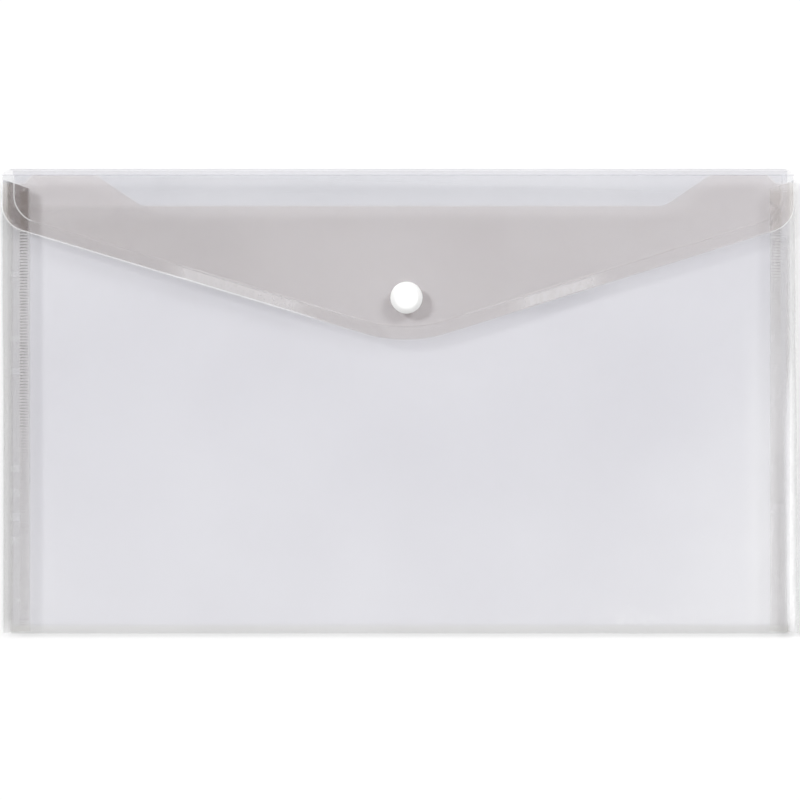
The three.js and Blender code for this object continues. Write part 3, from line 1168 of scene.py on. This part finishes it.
    def build(self) -> None:
        """Make the pocket's pieces and let them ride on the pocket."""
        made = [
            (self.back_panel(), ("back_panel",), Slot.FILM),
            (self.bottom_fold(), ("bottom_fold",), Slot.FILM),
            (self.front_panel(), ("front_panel",), Slot.FILM),
            (self.gusset(Side.LEFT), ("left_gusset",), Slot.FILM),
            (self.gusset(Side.RIGHT), ("right_gusset",), Slot.FILM),
            (self.weld(Side.LEFT), ("left_weld_seam",), Slot.WELD),
            (self.weld(Side.RIGHT), ("right_weld_seam",), Slot.WELD),
        ]
        for piece, nodes, slot in made:
            settle(piece, "pocket", nodes)


def settle(piece: bpy.types.Object, body: str, nodes: Sequence[str]) -> None:
    """Let a piece ride on a body and stand for its nodes, and report it.

    Args:
        piece: The piece.
        body: The body it moves with.
        nodes: The nodes it stands for.
    """
    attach(piece, body)
    if nodes:
        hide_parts(*nodes)
    log.info("%s rides on %s: %d faces", piece.name, body, len(piece.data.polygons))


@dataclass
class Spine:
    """The spine strip and the two creases that it bends at.

    Args:
        finishes: The envelope's materials.
        taper: How much narrower than the flap the strip is at the back crease, at each end.
        crease_bead: Radius of the thickened line that the creasing tool leaves.
    """

    finishes: Finishes
    taper: float = 1.6 * MM
    crease_bead: float = 0.2 * MM

    def __post_init__(self) -> None:
        """Read the hinge lines from the frame's joints."""
        self.back = hinge("spine_fold")
        self.front = hinge("flap_fold")
        low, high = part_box("flap")
        self.half = (high.x - low.x) / 2

    def strip(self) -> bpy.types.Object:
        """Cut the tapered strip and stand it up between its creases.

        Returns:
            The strip.
        """
        rise = self.front - self.back
        width = rise.length
        film = FilmBlank()
        film.fill(film.loop([
            Corner(-self.half + self.taper, 0), Corner(self.half - self.taper, 0),
            Corner(self.half, width), Corner(-self.half, width),
        ]))
        film.cut_across(0, -self.half, self.half, 6 * MM)
        film.cut_across(1, 0, width, 1.5 * MM)
        lean = math.atan2(rise.z, rise.y)
        turn = Matrix.Translation(self.back) @ Matrix.Rotation(lean, 4, "X")
        bow = 0.35 * MM
        film.bend(lambda p: turn @ Vector((p.x, p.y, -bow * math.sin(math.pi * p.y / width) + FILM / 2)))
        film.thicken()
        film.mark_rim(lambda p: abs(p.x - self.back.x) > self.half - 1.1 * self.taper)
        # Painted shade, darkening the strip towards the flap's crease.
        paint(film.bm, Mark.SHADE, lambda p: 0.045 * ease(1.5, 4.5, p.z))
        return film.piece("spine_film", self.finishes.spine, self.finishes.edge)

    def crease(self, name: str, place: Vector, half: float) -> bpy.types.Object:
        """Make the thick line of a crease, round so that it looks the same however far the film is folded.

        Args:
            name: The piece's name.
            place: A point of the crease.
            half: Half the crease's length.

        Returns:
            The crease.
        """
        bm = bmesh.new()
        bmesh.ops.create_circle(bm, cap_ends=True, segments=12, radius=self.crease_bead)
        bmesh.ops.rotate(bm, matrix=Matrix.Rotation(math.pi / 2, 3, "Y"), verts=bm.verts[:])
        bmesh.ops.translate(bm, vec=place + Vector((-half, 0, 0)), verts=bm.verts[:])
        grown = bmesh.ops.extrude_face_region(bm, geom=bm.faces[:])["geom"]
        moved = only(bmesh.types.BMVert, grown)
        bmesh.ops.translate(bm, vec=Vector((2 * half, 0, 0)), verts=moved)
        agree_normals(bm)
        return make_object(name, bm, [self.finishes.film])

    def build(self) -> None:
        """Make the strip and its creases."""
        settle(self.strip(), "spine", ("spine",))
        settle(self.crease("back_crease", self.back, self.half - self.taper), "spine", ())
        settle(self.crease("flap_crease", self.front, self.half), "spine", ())


@dataclass
class Flap:
    """The pointed flap with its raised border line.

    Args:
        finishes: The envelope's materials.
        pocket: The pocket that it closes.
        reach: From the crease to the point where its two slopes would meet.
        side_reach: From the crease to the corners where slope and side would meet.
        corner_radius: Rounding of those corners.
        point_radius: Rounding of the point.
        point_shift: How far right of the middle the point lies.
        border: From the edge to the middle of the border line.
        border_width: Width of the border line.
        border_height: Height of the border line.
        border_radius: Rounding of the border line's corners.
        border_highlight: How white the painted highlight on the border line's crest is.
        edge_width: Width of the band of painted highlight along the cut edge.
        edge_highlight: How white the painted highlight along the cut edge is.
        grid: Spacing of the cuts that let the film bend.
    """

    finishes: Finishes
    pocket: Pocket
    reach: float = 51.6 * MM
    side_reach: float = 15 * MM
    corner_radius: float = 8 * MM
    point_radius: float = 38 * MM
    point_shift: float = 1.8 * MM
    border: float = 3.7 * MM
    border_width: float = 0.7 * MM
    border_height: float = 0.2 * MM
    border_radius: float = 8 * MM
    border_highlight: float = 0.2
    edge_width: float = 0.45 * MM
    edge_highlight: float = 0.62
    grid: float = 4 * MM

    INSET = "inset"
    SWELLS = (
        Swell(-100 * MM, 38 * MM, 34 * MM, 18 * MM, 1.2 * MM),
        Swell(-58 * MM, 28 * MM, 28 * MM, 16 * MM, 0.8 * MM),
        Swell(98 * MM, 44 * MM, 34 * MM, 18 * MM, -0.9 * MM),
        Swell(56 * MM, 30 * MM, 32 * MM, 16 * MM, -1.1 * MM),
        Swell(2 * MM, 12 * MM, 30 * MM, 11 * MM, -2.2 * MM),
    )
    # Stretches where the painted highlights of the border and the edge come out, and where the strip between them is
    # lighter or darker.
    BORDER_BRIGHT = (
        Patch(1, x=((-76, -60), (-8, -16))),
        Patch(1, x=((16, 24), (66, 58))),
        Patch(0.4, x=((84, 92),)),
        Patch(0.35, x=((-62, -76),)),
    )
    BORDER_CORNER = Patch(1.4, x=((-109, -113),))
    EDGE_BRIGHT = (Patch(1, x=((-20, -32),)), Patch(0.5, x=((108, 114),)), Patch(0.25, x=((84, 92),)))
    STRIP_LIGHT = (Patch(0.17, x=((-70, -66), (-27, -31))), Patch(0.2, x=((33, 37), (62, 58))))
    STRIP_DARK = (Patch(0.03, x=((-114, -110), (-68, -72))), Patch(0.04, x=((-28, -24), (-2, -6))))
    # Darker tones of the flap above the mouth and over the pocket.
    OPEN_MOUTH = (Patch(0.02, y=((61, 65),)), Patch(0.05, x=((5, -25),), y=((61, 65),)))
    OVER_POCKET = (
        Patch(0.03, x=((96, 70),), y=((60, 57.5),)),
        Patch(0.065, x=((96, 70), (-30, -56)), y=((60, 57.5),)),
        Patch(0.03, x=((96, 70),), y=((60, 57.5), (51, 56.5))),
    )
    BLOTCHY_LEFT = Patch(0.03, x=((-30, -56),))

    def __post_init__(self) -> None:
        """Read the places that the frame gives."""
        low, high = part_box("flap")
        self.middle = (low.x + high.x) / 2
        self.half = (high.x - low.x) / 2
        self.crease_y = hinge("flap_fold").y
        self.crease_top = low.z + FILM
        self.level_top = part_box("flap_snap_socket")[1].z + FILM
        snap_low, snap_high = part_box("flap_snap_cap")
        self.snap = (snap_low + snap_high) / 2
        self.level_from = snap_high.y

    def lift(self, x: float, y: float) -> float:
        """Height of the film's upper face.

        Args:
            x: Place along the pocket.
            y: Place up the pocket.

        Returns:
            The height.
        """
        level = self.crease_top + (self.level_top - self.crease_top) * smooth(self.crease_y, self.level_from, y)
        clear = ease(5.5, 22, math.hypot(x - self.snap.x, y - self.snap.y))
        away = ease(4, 34, self.crease_y - y)
        swelling = sum(swell.at(x, y) for swell in self.SWELLS)
        return level + clear * away * (swelling + 0.15 * MM * ripple(x, y, 30 * MM, 11.0))

    def outline(self, inset: float, radius: float) -> list[Corner]:
        """Corners of the flap's outline pulled in by an inset, carried past the crease.

        Args:
            inset: How far inside the flap's edge the outline runs.
            radius: Rounding of the side corners.

        Returns:
            The corners.
        """
        top = self.crease_y + self.border_radius - inset
        point = Vector((self.point_shift, self.crease_y - self.reach))
        corners = []
        for sign in (-1, 1):
            corner = Vector((self.middle + sign * self.half, self.crease_y - self.side_reach))
            along = (point - corner).normalized()
            inward = Vector((-along.y, along.x)) * -sign
            start = corner + inward * inset
            side_x = self.middle + sign * (self.half - inset)
            corners.append((side_x, start.y + along.y / along.x * (side_x - start.x), start, along))
        (left_x, left_y, left, left_along), (right_x, right_y, right, right_along) = corners
        left_slope = left_along.y / left_along.x
        right_slope = right_along.y / right_along.x
        tip_x = (right.y - left.y + left_slope * left.x - right_slope * right.x) / (left_slope - right_slope)
        tip_y = left.y + left_slope * (tip_x - left.x)
        return [
            Corner(left_x, top), Corner(left_x, left_y, radius), Corner(tip_x, tip_y, self.point_radius),
            Corner(right_x, right_y, radius), Corner(right_x, top),
        ]

    def sheet(self) -> bpy.types.Object:
        """Cut the flap, raise its border line, bend and thicken it.

        Returns:
            The flap's film.
        """
        film = FilmBlank()
        white = film.bm.verts.layers.float.new(Mark.WHITE.value)
        inset = film.bm.verts.layers.float.new(self.INSET)
        loops = [film.loop(self.outline(0, self.corner_radius)),
                 film.loop(self.outline(self.edge_width, self.corner_radius - self.edge_width))]
        # The cut edge carries a painted highlight.
        for vert in verts_of(loops[0]):
            vert[white] = self.edge_highlight
        for vert in verts_of(loops[1]):
            vert[inset] = self.edge_width
        # Nine loops shape the line's rounded section and end just outside it.
        for step in range(-4, 5):
            across = step / 3
            depth = self.border + across * self.border_width / 2
            edges = film.loop(self.outline(depth, self.border_radius))
            rise = self.border_height * (0.5 + 0.5 * math.cos(math.pi * min(abs(across), 1)))
            for vert in verts_of(edges):
                vert.co.z = rise
                # The border line's crest carries a painted highlight.
                vert[white] = self.border_highlight * rise / self.border_height
                vert[inset] = depth
            loops.append(edges)
        for outer, inner in zip(loops, loops[1:]):
            bmesh.ops.bridge_loops(film.bm, edges=outer + inner)
        film.fill(loops[-1])
        film.cut_across(0, self.middle - self.half, self.middle + self.half, self.grid)
        film.cut_across(1, self.crease_y - self.reach, self.crease_y, self.grid)
        # Finer cuts carry the tones beside the crease and at the ends of the border line's bright stretches.
        film.cut_across(1, self.crease_y - 11 * MM, self.crease_y, 0.4 * MM)
        for start, end in ((-115, -109), (-94, -76), (78, 96), (109, 115)):
            film.cut_across(0, start * MM, end * MM, 0.8 * MM)
        film.trim(Vector((0, self.crease_y - 0.05 * MM, 0)), Vector((0, 1, 0)))
        agree_normals(film.bm)
        film.bm.normal_update()
        if sum(face.normal.z for face in film.bm.faces) < 0:
            bmesh.ops.reverse_faces(film.bm, faces=film.bm.faces[:])
        self._vary_lines(film.bm)
        # Painted highlight on the roll beside the crease.
        paint(film.bm, Mark.WHITE, self._crease_roll_highlight)
        paint(film.bm, Mark.SHADE, self._flap_tones)
        paint(film.bm, Mark.TINT, self._over_front)
        self._tone_strip(film.bm)
        film.lift(self.lift)
        film.thicken()
        film.mark_rim(lambda p: p.y < self.crease_y - 0.2 * MM)
        return film.piece("flap_film", self.finishes.flap, self.finishes.edge)

    def _over_front(self, point: Vector) -> float:
        """Tell whether the front panel lies under a place of the closed flap, where its film looks warmer."""
        return ease(0.35, -0.35, point.y - self.pocket.mouth_height(point.x))

    def _crease_roll_highlight(self, point: Vector) -> float:
        """Painted highlight on the roll beside the crease, which is narrow on the left and widens to the right.

        Args:
            point: A point of the flap.

        Returns:
            The whitening from 0 to 1.
        """
        share = part(-self.half, 0.7 * self.half, point.x)
        width = 0.3 * MM + 4.9 * MM * share ** 2
        end = ease(89, 87, point.x)
        return 0.06 * end * (1 - smooth(width, width + 0.4 * MM, self.crease_y - point.y))

    def _flap_tones(self, point: Vector) -> float:
        """Darker tones of the flap, more on the left, with faint blotches.

        Args:
            point: A point of the flap.

        Returns:
            The shading from 0 to 1.
        """
        blotch = max(0.0, ripple(point.x, point.y, 11 * MM, 21.0))
        blotch += 0.6 * max(0.0, ripple(point.x, point.y, 4 * MM, 8.0))
        tone = total(self.OVER_POCKET, point) + total(self.OPEN_MOUTH, point) * (1 - self._over_front(point))
        return tone + (0.015 + self.BLOTCHY_LEFT.at(point)) * blotch

    def _tone_strip(self, bm: bmesh.types.BMesh) -> None:
        """Let the strip outside the border line be lighter in some stretches and darker in others.

        Args:
            bm: The flap's mesh.
        """
        inset = bm.verts.layers.float[self.INSET]
        white = bm.verts.layers.float[Mark.WHITE.value]
        shade = bm.verts.layers.float[Mark.SHADE.value]
        inner = self.border - 1.3 * self.border_width / 2
        for vert in bm.verts:
            if not 0.9 * self.edge_width < vert[inset] < inner or vert.co.y > self.crease_y - 4 * MM:
                continue
            vert[white] = max(vert[white], total(self.STRIP_LIGHT, vert.co))
            vert[shade] += total(self.STRIP_DARK, vert.co)
        bm.verts.layers.float.remove(inset)

    def _vary_lines(self, bm: bmesh.types.BMesh) -> None:
        """Let the painted highlights of the edge and the border line come and go along the flap.

        Args:
            bm: The flap's mesh.
        """
        white = bm.verts.layers.float[Mark.WHITE.value]
        for vert in bm.verts:
            if vert[white] < 0.08:
                continue
            if vert.co.z > 0:
                bright = min(total(self.BORDER_BRIGHT, vert.co), 1.0)
                vert[white] *= 0.15 + 0.85 * bright + self.BORDER_CORNER.at(vert.co)
            elif vert.co.y < self.crease_y - MM:
                bright = min(total(self.EDGE_BRIGHT, vert.co), 1.0)
                vert[white] *= 0.12 + 0.88 * bright * (0.85 + 0.3 * ripple(vert.co.x, 0, 14 * MM, 2.0))

    def build(self) -> None:
        """Make the flap's film."""
        settle(self.sheet(), "flap", ("flap",))


@dataclass
class PressStud:
    """The press stud: cap and socket on the flap, stud and base on the front panel.

    Args:
        finishes: The envelope's materials.
        turns: Number of steps round a turned piece.
        shank: Radius of the shanks that pass through the film.
        hole: Radius of the holes that they pass through.
        bore: Radius of the socket's bore.
        post: Radius of the stud's post.
        flange: Thickness of the stud's flange.
    """

    finishes: Finishes
    turns: int = 72
    shank: float = 0.95 * MM
    hole: float = 1.25 * MM
    bore: float = 2.15 * MM
    post: float = 1.75 * MM
    flange: float = 0.8 * MM

    # The cap's bevel, as places inward from its rim and down from its top, in millimetres.
    CAP_BEVEL = ((0.03, 0.94), (0.12, 0.84), (1.18, 0.14), (1.32, 0.06), (1.5, 0.015), (1.7, 0))

    def __post_init__(self) -> None:
        """Read the stud's axis from the frame."""
        low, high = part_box("flap_snap_cap")
        self.axis = (low + high) / 2

    def turned(self, name: str, foot: float, *runs: Sequence[tuple[float, float]]) -> bpy.types.Object:
        """Spin a profile round the stud's axis.

        Args:
            name: The piece's name.
            foot: Height that the profile is measured from.
            runs: The profile's stretches, each of radius and height of its points.

        Returns:
            The piece.
        """
        bm = bmesh.new()
        edges = []
        for run in runs:
            verts = [bm.verts.new((self.axis.x + radius, self.axis.y, foot + level)) for radius, level in run]
            edges += [bm.edges.new(pair) for pair in zip(verts, verts[1:])]
        bmesh.ops.spin(bm, geom=edges, cent=(self.axis.x, self.axis.y, 0), axis=(0, 0, 1), angle=FULL_TURN,
                       steps=self.turns, use_merge=True)
        bmesh.ops.remove_doubles(bm, verts=bm.verts[:], dist=SAME_PLACE)
        agree_normals(bm)
        return make_object(name, bm, [self.finishes.snap])

    @staticmethod
    def rounding(radius: float, level: float, size: float, start: float, end: float) -> list[tuple[float, float]]:
        """Points of a quarter round.

        Args:
            radius: Radius at which its centre lies.
            level: Height of its centre.
            size: Its own radius.
            start: First angle, in degrees.
            end: Last angle, in degrees.

        Returns:
            Radius and height of each point.
        """
        steps = 8
        angles = (math.radians(start + (end - start) * step / steps) for step in range(steps + 1))
        return [(radius + size * math.cos(a), level + size * math.sin(a)) for a in angles]

    @staticmethod
    def space(node: str) -> tuple[float, float, float]:
        """Read the height of a piece's foot, its radius and how tall it is from its node's box."""
        low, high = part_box(node)
        return low.z, (high.x - low.x) / 2, high.z - low.z

    def cap(self) -> bpy.types.Object:
        """Turn the white cap, with its level top, its wide bevel and its shank.

        Returns:
            The cap.
        """
        low, radius, tall = self.space("flap_snap_cap")
        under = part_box("flap_snap_socket")[1].z + FILM
        shank = under - low
        thick = tall - shank
        foot = 0.25 * MM
        profile = [(0, -shank), (self.shank, -shank), (self.shank, 0), (radius - foot, 0)]
        profile += self.rounding(radius - foot, foot, foot, -90, 0)[1:]
        profile += [(radius - inward * MM, thick - down * MM) for inward, down in self.CAP_BEVEL]
        profile += [(0, thick)]
        return self.turned("snap_cap", under, profile)

    def socket(self) -> bpy.types.Object:
        """Turn the socket: a thick ring with a groove under it and a lip that grips the post.

        Returns:
            The socket.
        """
        low, radius, tall = self.space("flap_snap_socket")
        web = 0.7 * MM
        rim = 0.45 * MM
        profile = [(2.05 * MM, 0), (2.7 * MM, 0), (2.85 * MM, 0.22 * MM), (3.35 * MM, 0.22 * MM), (3.5 * MM, 0)]
        profile += self.rounding(radius - rim, rim, rim, -90, 0)
        profile += self.rounding(radius - 0.15 * MM, tall - 0.15 * MM, 0.15 * MM, 0, 90)
        profile += [(self.hole, tall), (self.hole, tall - web), (self.bore, tall - web), (self.bore, 0.5 * MM)]
        profile += [(self.bore - 0.2 * MM, 0.3 * MM), (self.bore - 0.2 * MM, 0.12 * MM), (2.05 * MM, 0)]
        return self.turned("snap_socket", low, profile)

    def stud(self) -> bpy.types.Object:
        """Turn the stud: a dished flange and a hollow post with a swollen head.

        Returns:
            The stud.
        """
        low, radius, tall = self.space("pocket_snap_stud")
        edge, roof, head = 0.4 * MM, 0.6 * MM, 0.3 * MM
        outer = [(self.hole, 0), (radius - 0.1 * MM, 0), (radius, 0.1 * MM)]
        outer += self.rounding(radius - edge, self.flange - edge, edge, 0, 90)
        outer += [(3.6 * MM, self.flange), (3.35 * MM, 0.66 * MM), (2.2 * MM, 0.66 * MM), (1.75 * MM, 0.74 * MM)]
        outer += [(1.6 * MM, 0.95 * MM), (1.62 * MM, 1.2 * MM), (self.post, 1.45 * MM)]
        outer += self.rounding(self.post - head, tall - head, head, 0, 90)
        outer += [(0.7 * MM, tall), (0.55 * MM, tall - 0.14 * MM), (0, tall - 0.14 * MM)]
        inner = [(0, tall - roof), (self.hole, tall - roof), (self.hole, 0)]
        return self.turned("snap_stud", low, outer, inner)

    def base(self) -> bpy.types.Object:
        """Turn the base: a rounded disc with a shallow dimple under it, and its shank.

        Returns:
            The base.
        """
        low, radius, tall = self.space("pocket_snap_base")
        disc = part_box("front_panel")[0].z - low
        rim = 0.45 * MM
        profile = [(0, 0.14 * MM), (1.3 * MM, 0.14 * MM), (1.5 * MM, 0), (radius - rim, 0)]
        profile += self.rounding(radius - rim, rim, rim, -90, 0)[1:]
        profile += self.rounding(radius - 0.15 * MM, disc - 0.15 * MM, 0.15 * MM, 0, 90)
        profile += [(self.shank + 0.15 * MM, disc), (self.shank, disc + 0.15 * MM), (self.shank, tall - 0.1 * MM)]
        profile += [(self.shank - 0.1 * MM, tall), (0, tall)]
        return self.turned("snap_base", low, profile)

    def build(self) -> None:
        """Make the four pieces. Only the lower pair casts a shadow, so that the clear film shows it once."""
        for turn, body, node in (
            (self.cap, "flap", "flap_snap_cap"), (self.socket, "flap", "flap_snap_socket"),
            (self.stud, "pocket", "pocket_snap_stud"), (self.base, "pocket", "pocket_snap_base"),
        ):
            piece = turn()
            piece.visible_shadow = body == "pocket"
            settle(piece, body, (node,))


@dataclass
class Studio:
    """Camera, lamps, world and floor.

    Args:
        frame_width: Width that the picture shows at the film's height.
        lens: Focal length of the camera, in millimetres.
        sensor: Sensor width, in millimetres.
        aim: The point that the camera looks down on.
        layers: How many clear surfaces a ray may pass.
        fill: Strength of the world where it only lights.
        glow: How much the floor shines by itself where it is seen.
        floor_size: Half the floor's width.
        floor_gap: How far the floor lies below the envelope.
    """

    frame_width: float = 242.4 * MM
    lens: float = 135.0
    sensor: float = 36.0
    aim: tuple[float, float, float] = (0.0, 0.3 * MM, 5 * MM)
    layers: int = 48
    fill: float = 0.15
    glow: float = 0.08
    floor_size: float = 3.0
    floor_gap: float = 0.1 * MM

    # Each far lamp's name, strength, width in radians and the direction of its light.
    SUNS = (
        ("key_right", 1.2, 0.35, (-0.48, -0.46, -1)),
        ("key_left", 1.53, 0.16, (0.55, -0.34, -1)),
        ("overhead", 0.6, 1.2, (0.0, -0.1, -1)),
    )

    def camera(self) -> None:
        """Put the camera straight above the envelope."""
        data = bpy.data.cameras.new("camera")
        data.lens = self.lens
        data.sensor_width = self.sensor
        made = bpy.data.objects.new("camera", data)
        distance = self.frame_width * self.lens / self.sensor
        made.location = Vector(self.aim) + Vector((0, 0, distance))
        data.clip_start = 0.05
        data.clip_end = 50
        bpy.context.scene.collection.objects.link(made)
        bpy.context.scene.camera = made

    @staticmethod
    def sun(name: str, strength: float, width: float, toward: Vector) -> None:
        """Add a lamp that is far away.

        Args:
            name: The lamp's name.
            strength: Its strength.
            width: How wide it looks, in radians.
            toward: The direction that its light travels.
        """
        data = bpy.data.lights.new(name, "SUN")
        data.energy = strength
        data.angle = width
        made = bpy.data.objects.new(name, data)
        made.rotation_euler = toward.to_track_quat("-Z", "Y").to_euler()
        bpy.context.scene.collection.objects.link(made)

    @staticmethod
    def seen_directly(sheet: NodeSheet) -> bpy.types.NodeSocket:
        """Give 1 for what is seen straight, mirrored or through glass, and 0 for what only lights.

        Args:
            sheet: The world's or the floor's nodes.

        Returns:
            The share's socket.
        """
        path = sheet.add("ShaderNodeLightPath")
        mirrored = sheet.math("MAXIMUM", path.outputs["Is Camera Ray"], path.outputs["Is Glossy Ray"])
        return sheet.math("MAXIMUM", mirrored, path.outputs["Is Transmission Ray"])

    def world(self) -> None:
        """Light the envelope from all round, and show a white background."""
        made = bpy.data.worlds.new("studio")
        bpy.context.scene.world = made
        made.use_nodes = True
        sheet = NodeSheet(made.node_tree)
        made.node_tree.nodes.clear()
        strength = sheet.span(self.seen_directly(sheet), 0, 1, self.fill, 1.0)
        background = sheet.add("ShaderNodeBackground", {"Color": (1, 1, 1, 1), "Strength": strength})
        sheet.add("ShaderNodeOutputWorld", {"Surface": background.outputs[0]})

    def floor(self) -> None:
        """Lay a white floor that keeps the envelope's shadow."""
        bm = bmesh.new()
        bmesh.ops.create_grid(bm, x_segments=2, y_segments=2, size=self.floor_size)
        bmesh.ops.translate(bm, vec=(0, 0, -self.floor_gap), verts=bm.verts[:])
        made, sheet, shader = new_material("white_floor")
        sheet.feed(shader, {"Base Color": (0.97, 0.97, 0.97, 1), "Roughness": 0.9, "Specular IOR Level": 0.0})
        glow = sheet.add("ShaderNodeEmission", {"Strength": 1.0})
        share = sheet.span(self.seen_directly(sheet), 0, 1, 0, self.glow)
        blend = sheet.add("ShaderNodeMixShader")
        sheet.feed(blend, {0: share, 1: shader.outputs[0], 2: glow.outputs[0]})
        output = next(node for node in made.node_tree.nodes if node.type == "OUTPUT_MATERIAL")
        sheet.feed(output, {"Surface": blend.outputs[0]})
        make_object("floor", bm, [made])

    def build(self) -> None:
        """Set up the studio."""
        scene = bpy.context.scene
        scene.view_settings.view_transform = "Standard"
        scene.cycles.transparent_max_bounces = self.layers
        self.camera()
        self.world()
        self.floor()
        for name, strength, width, toward in self.SUNS:
            self.sun(name, strength, width, Vector(toward))


def main() -> None:
    """Build the studio and the envelope."""
    logging.basicConfig(level=logging.INFO, format="%(name)s: %(message)s")
    Studio().build()
    finishes = Finishes()
    pocket = Pocket(finishes)
    pocket.build()
    Spine(finishes).build()
    Flap(finishes, pocket).build()
    PressStud(finishes).build()


if __name__ == "__main__":
    main()
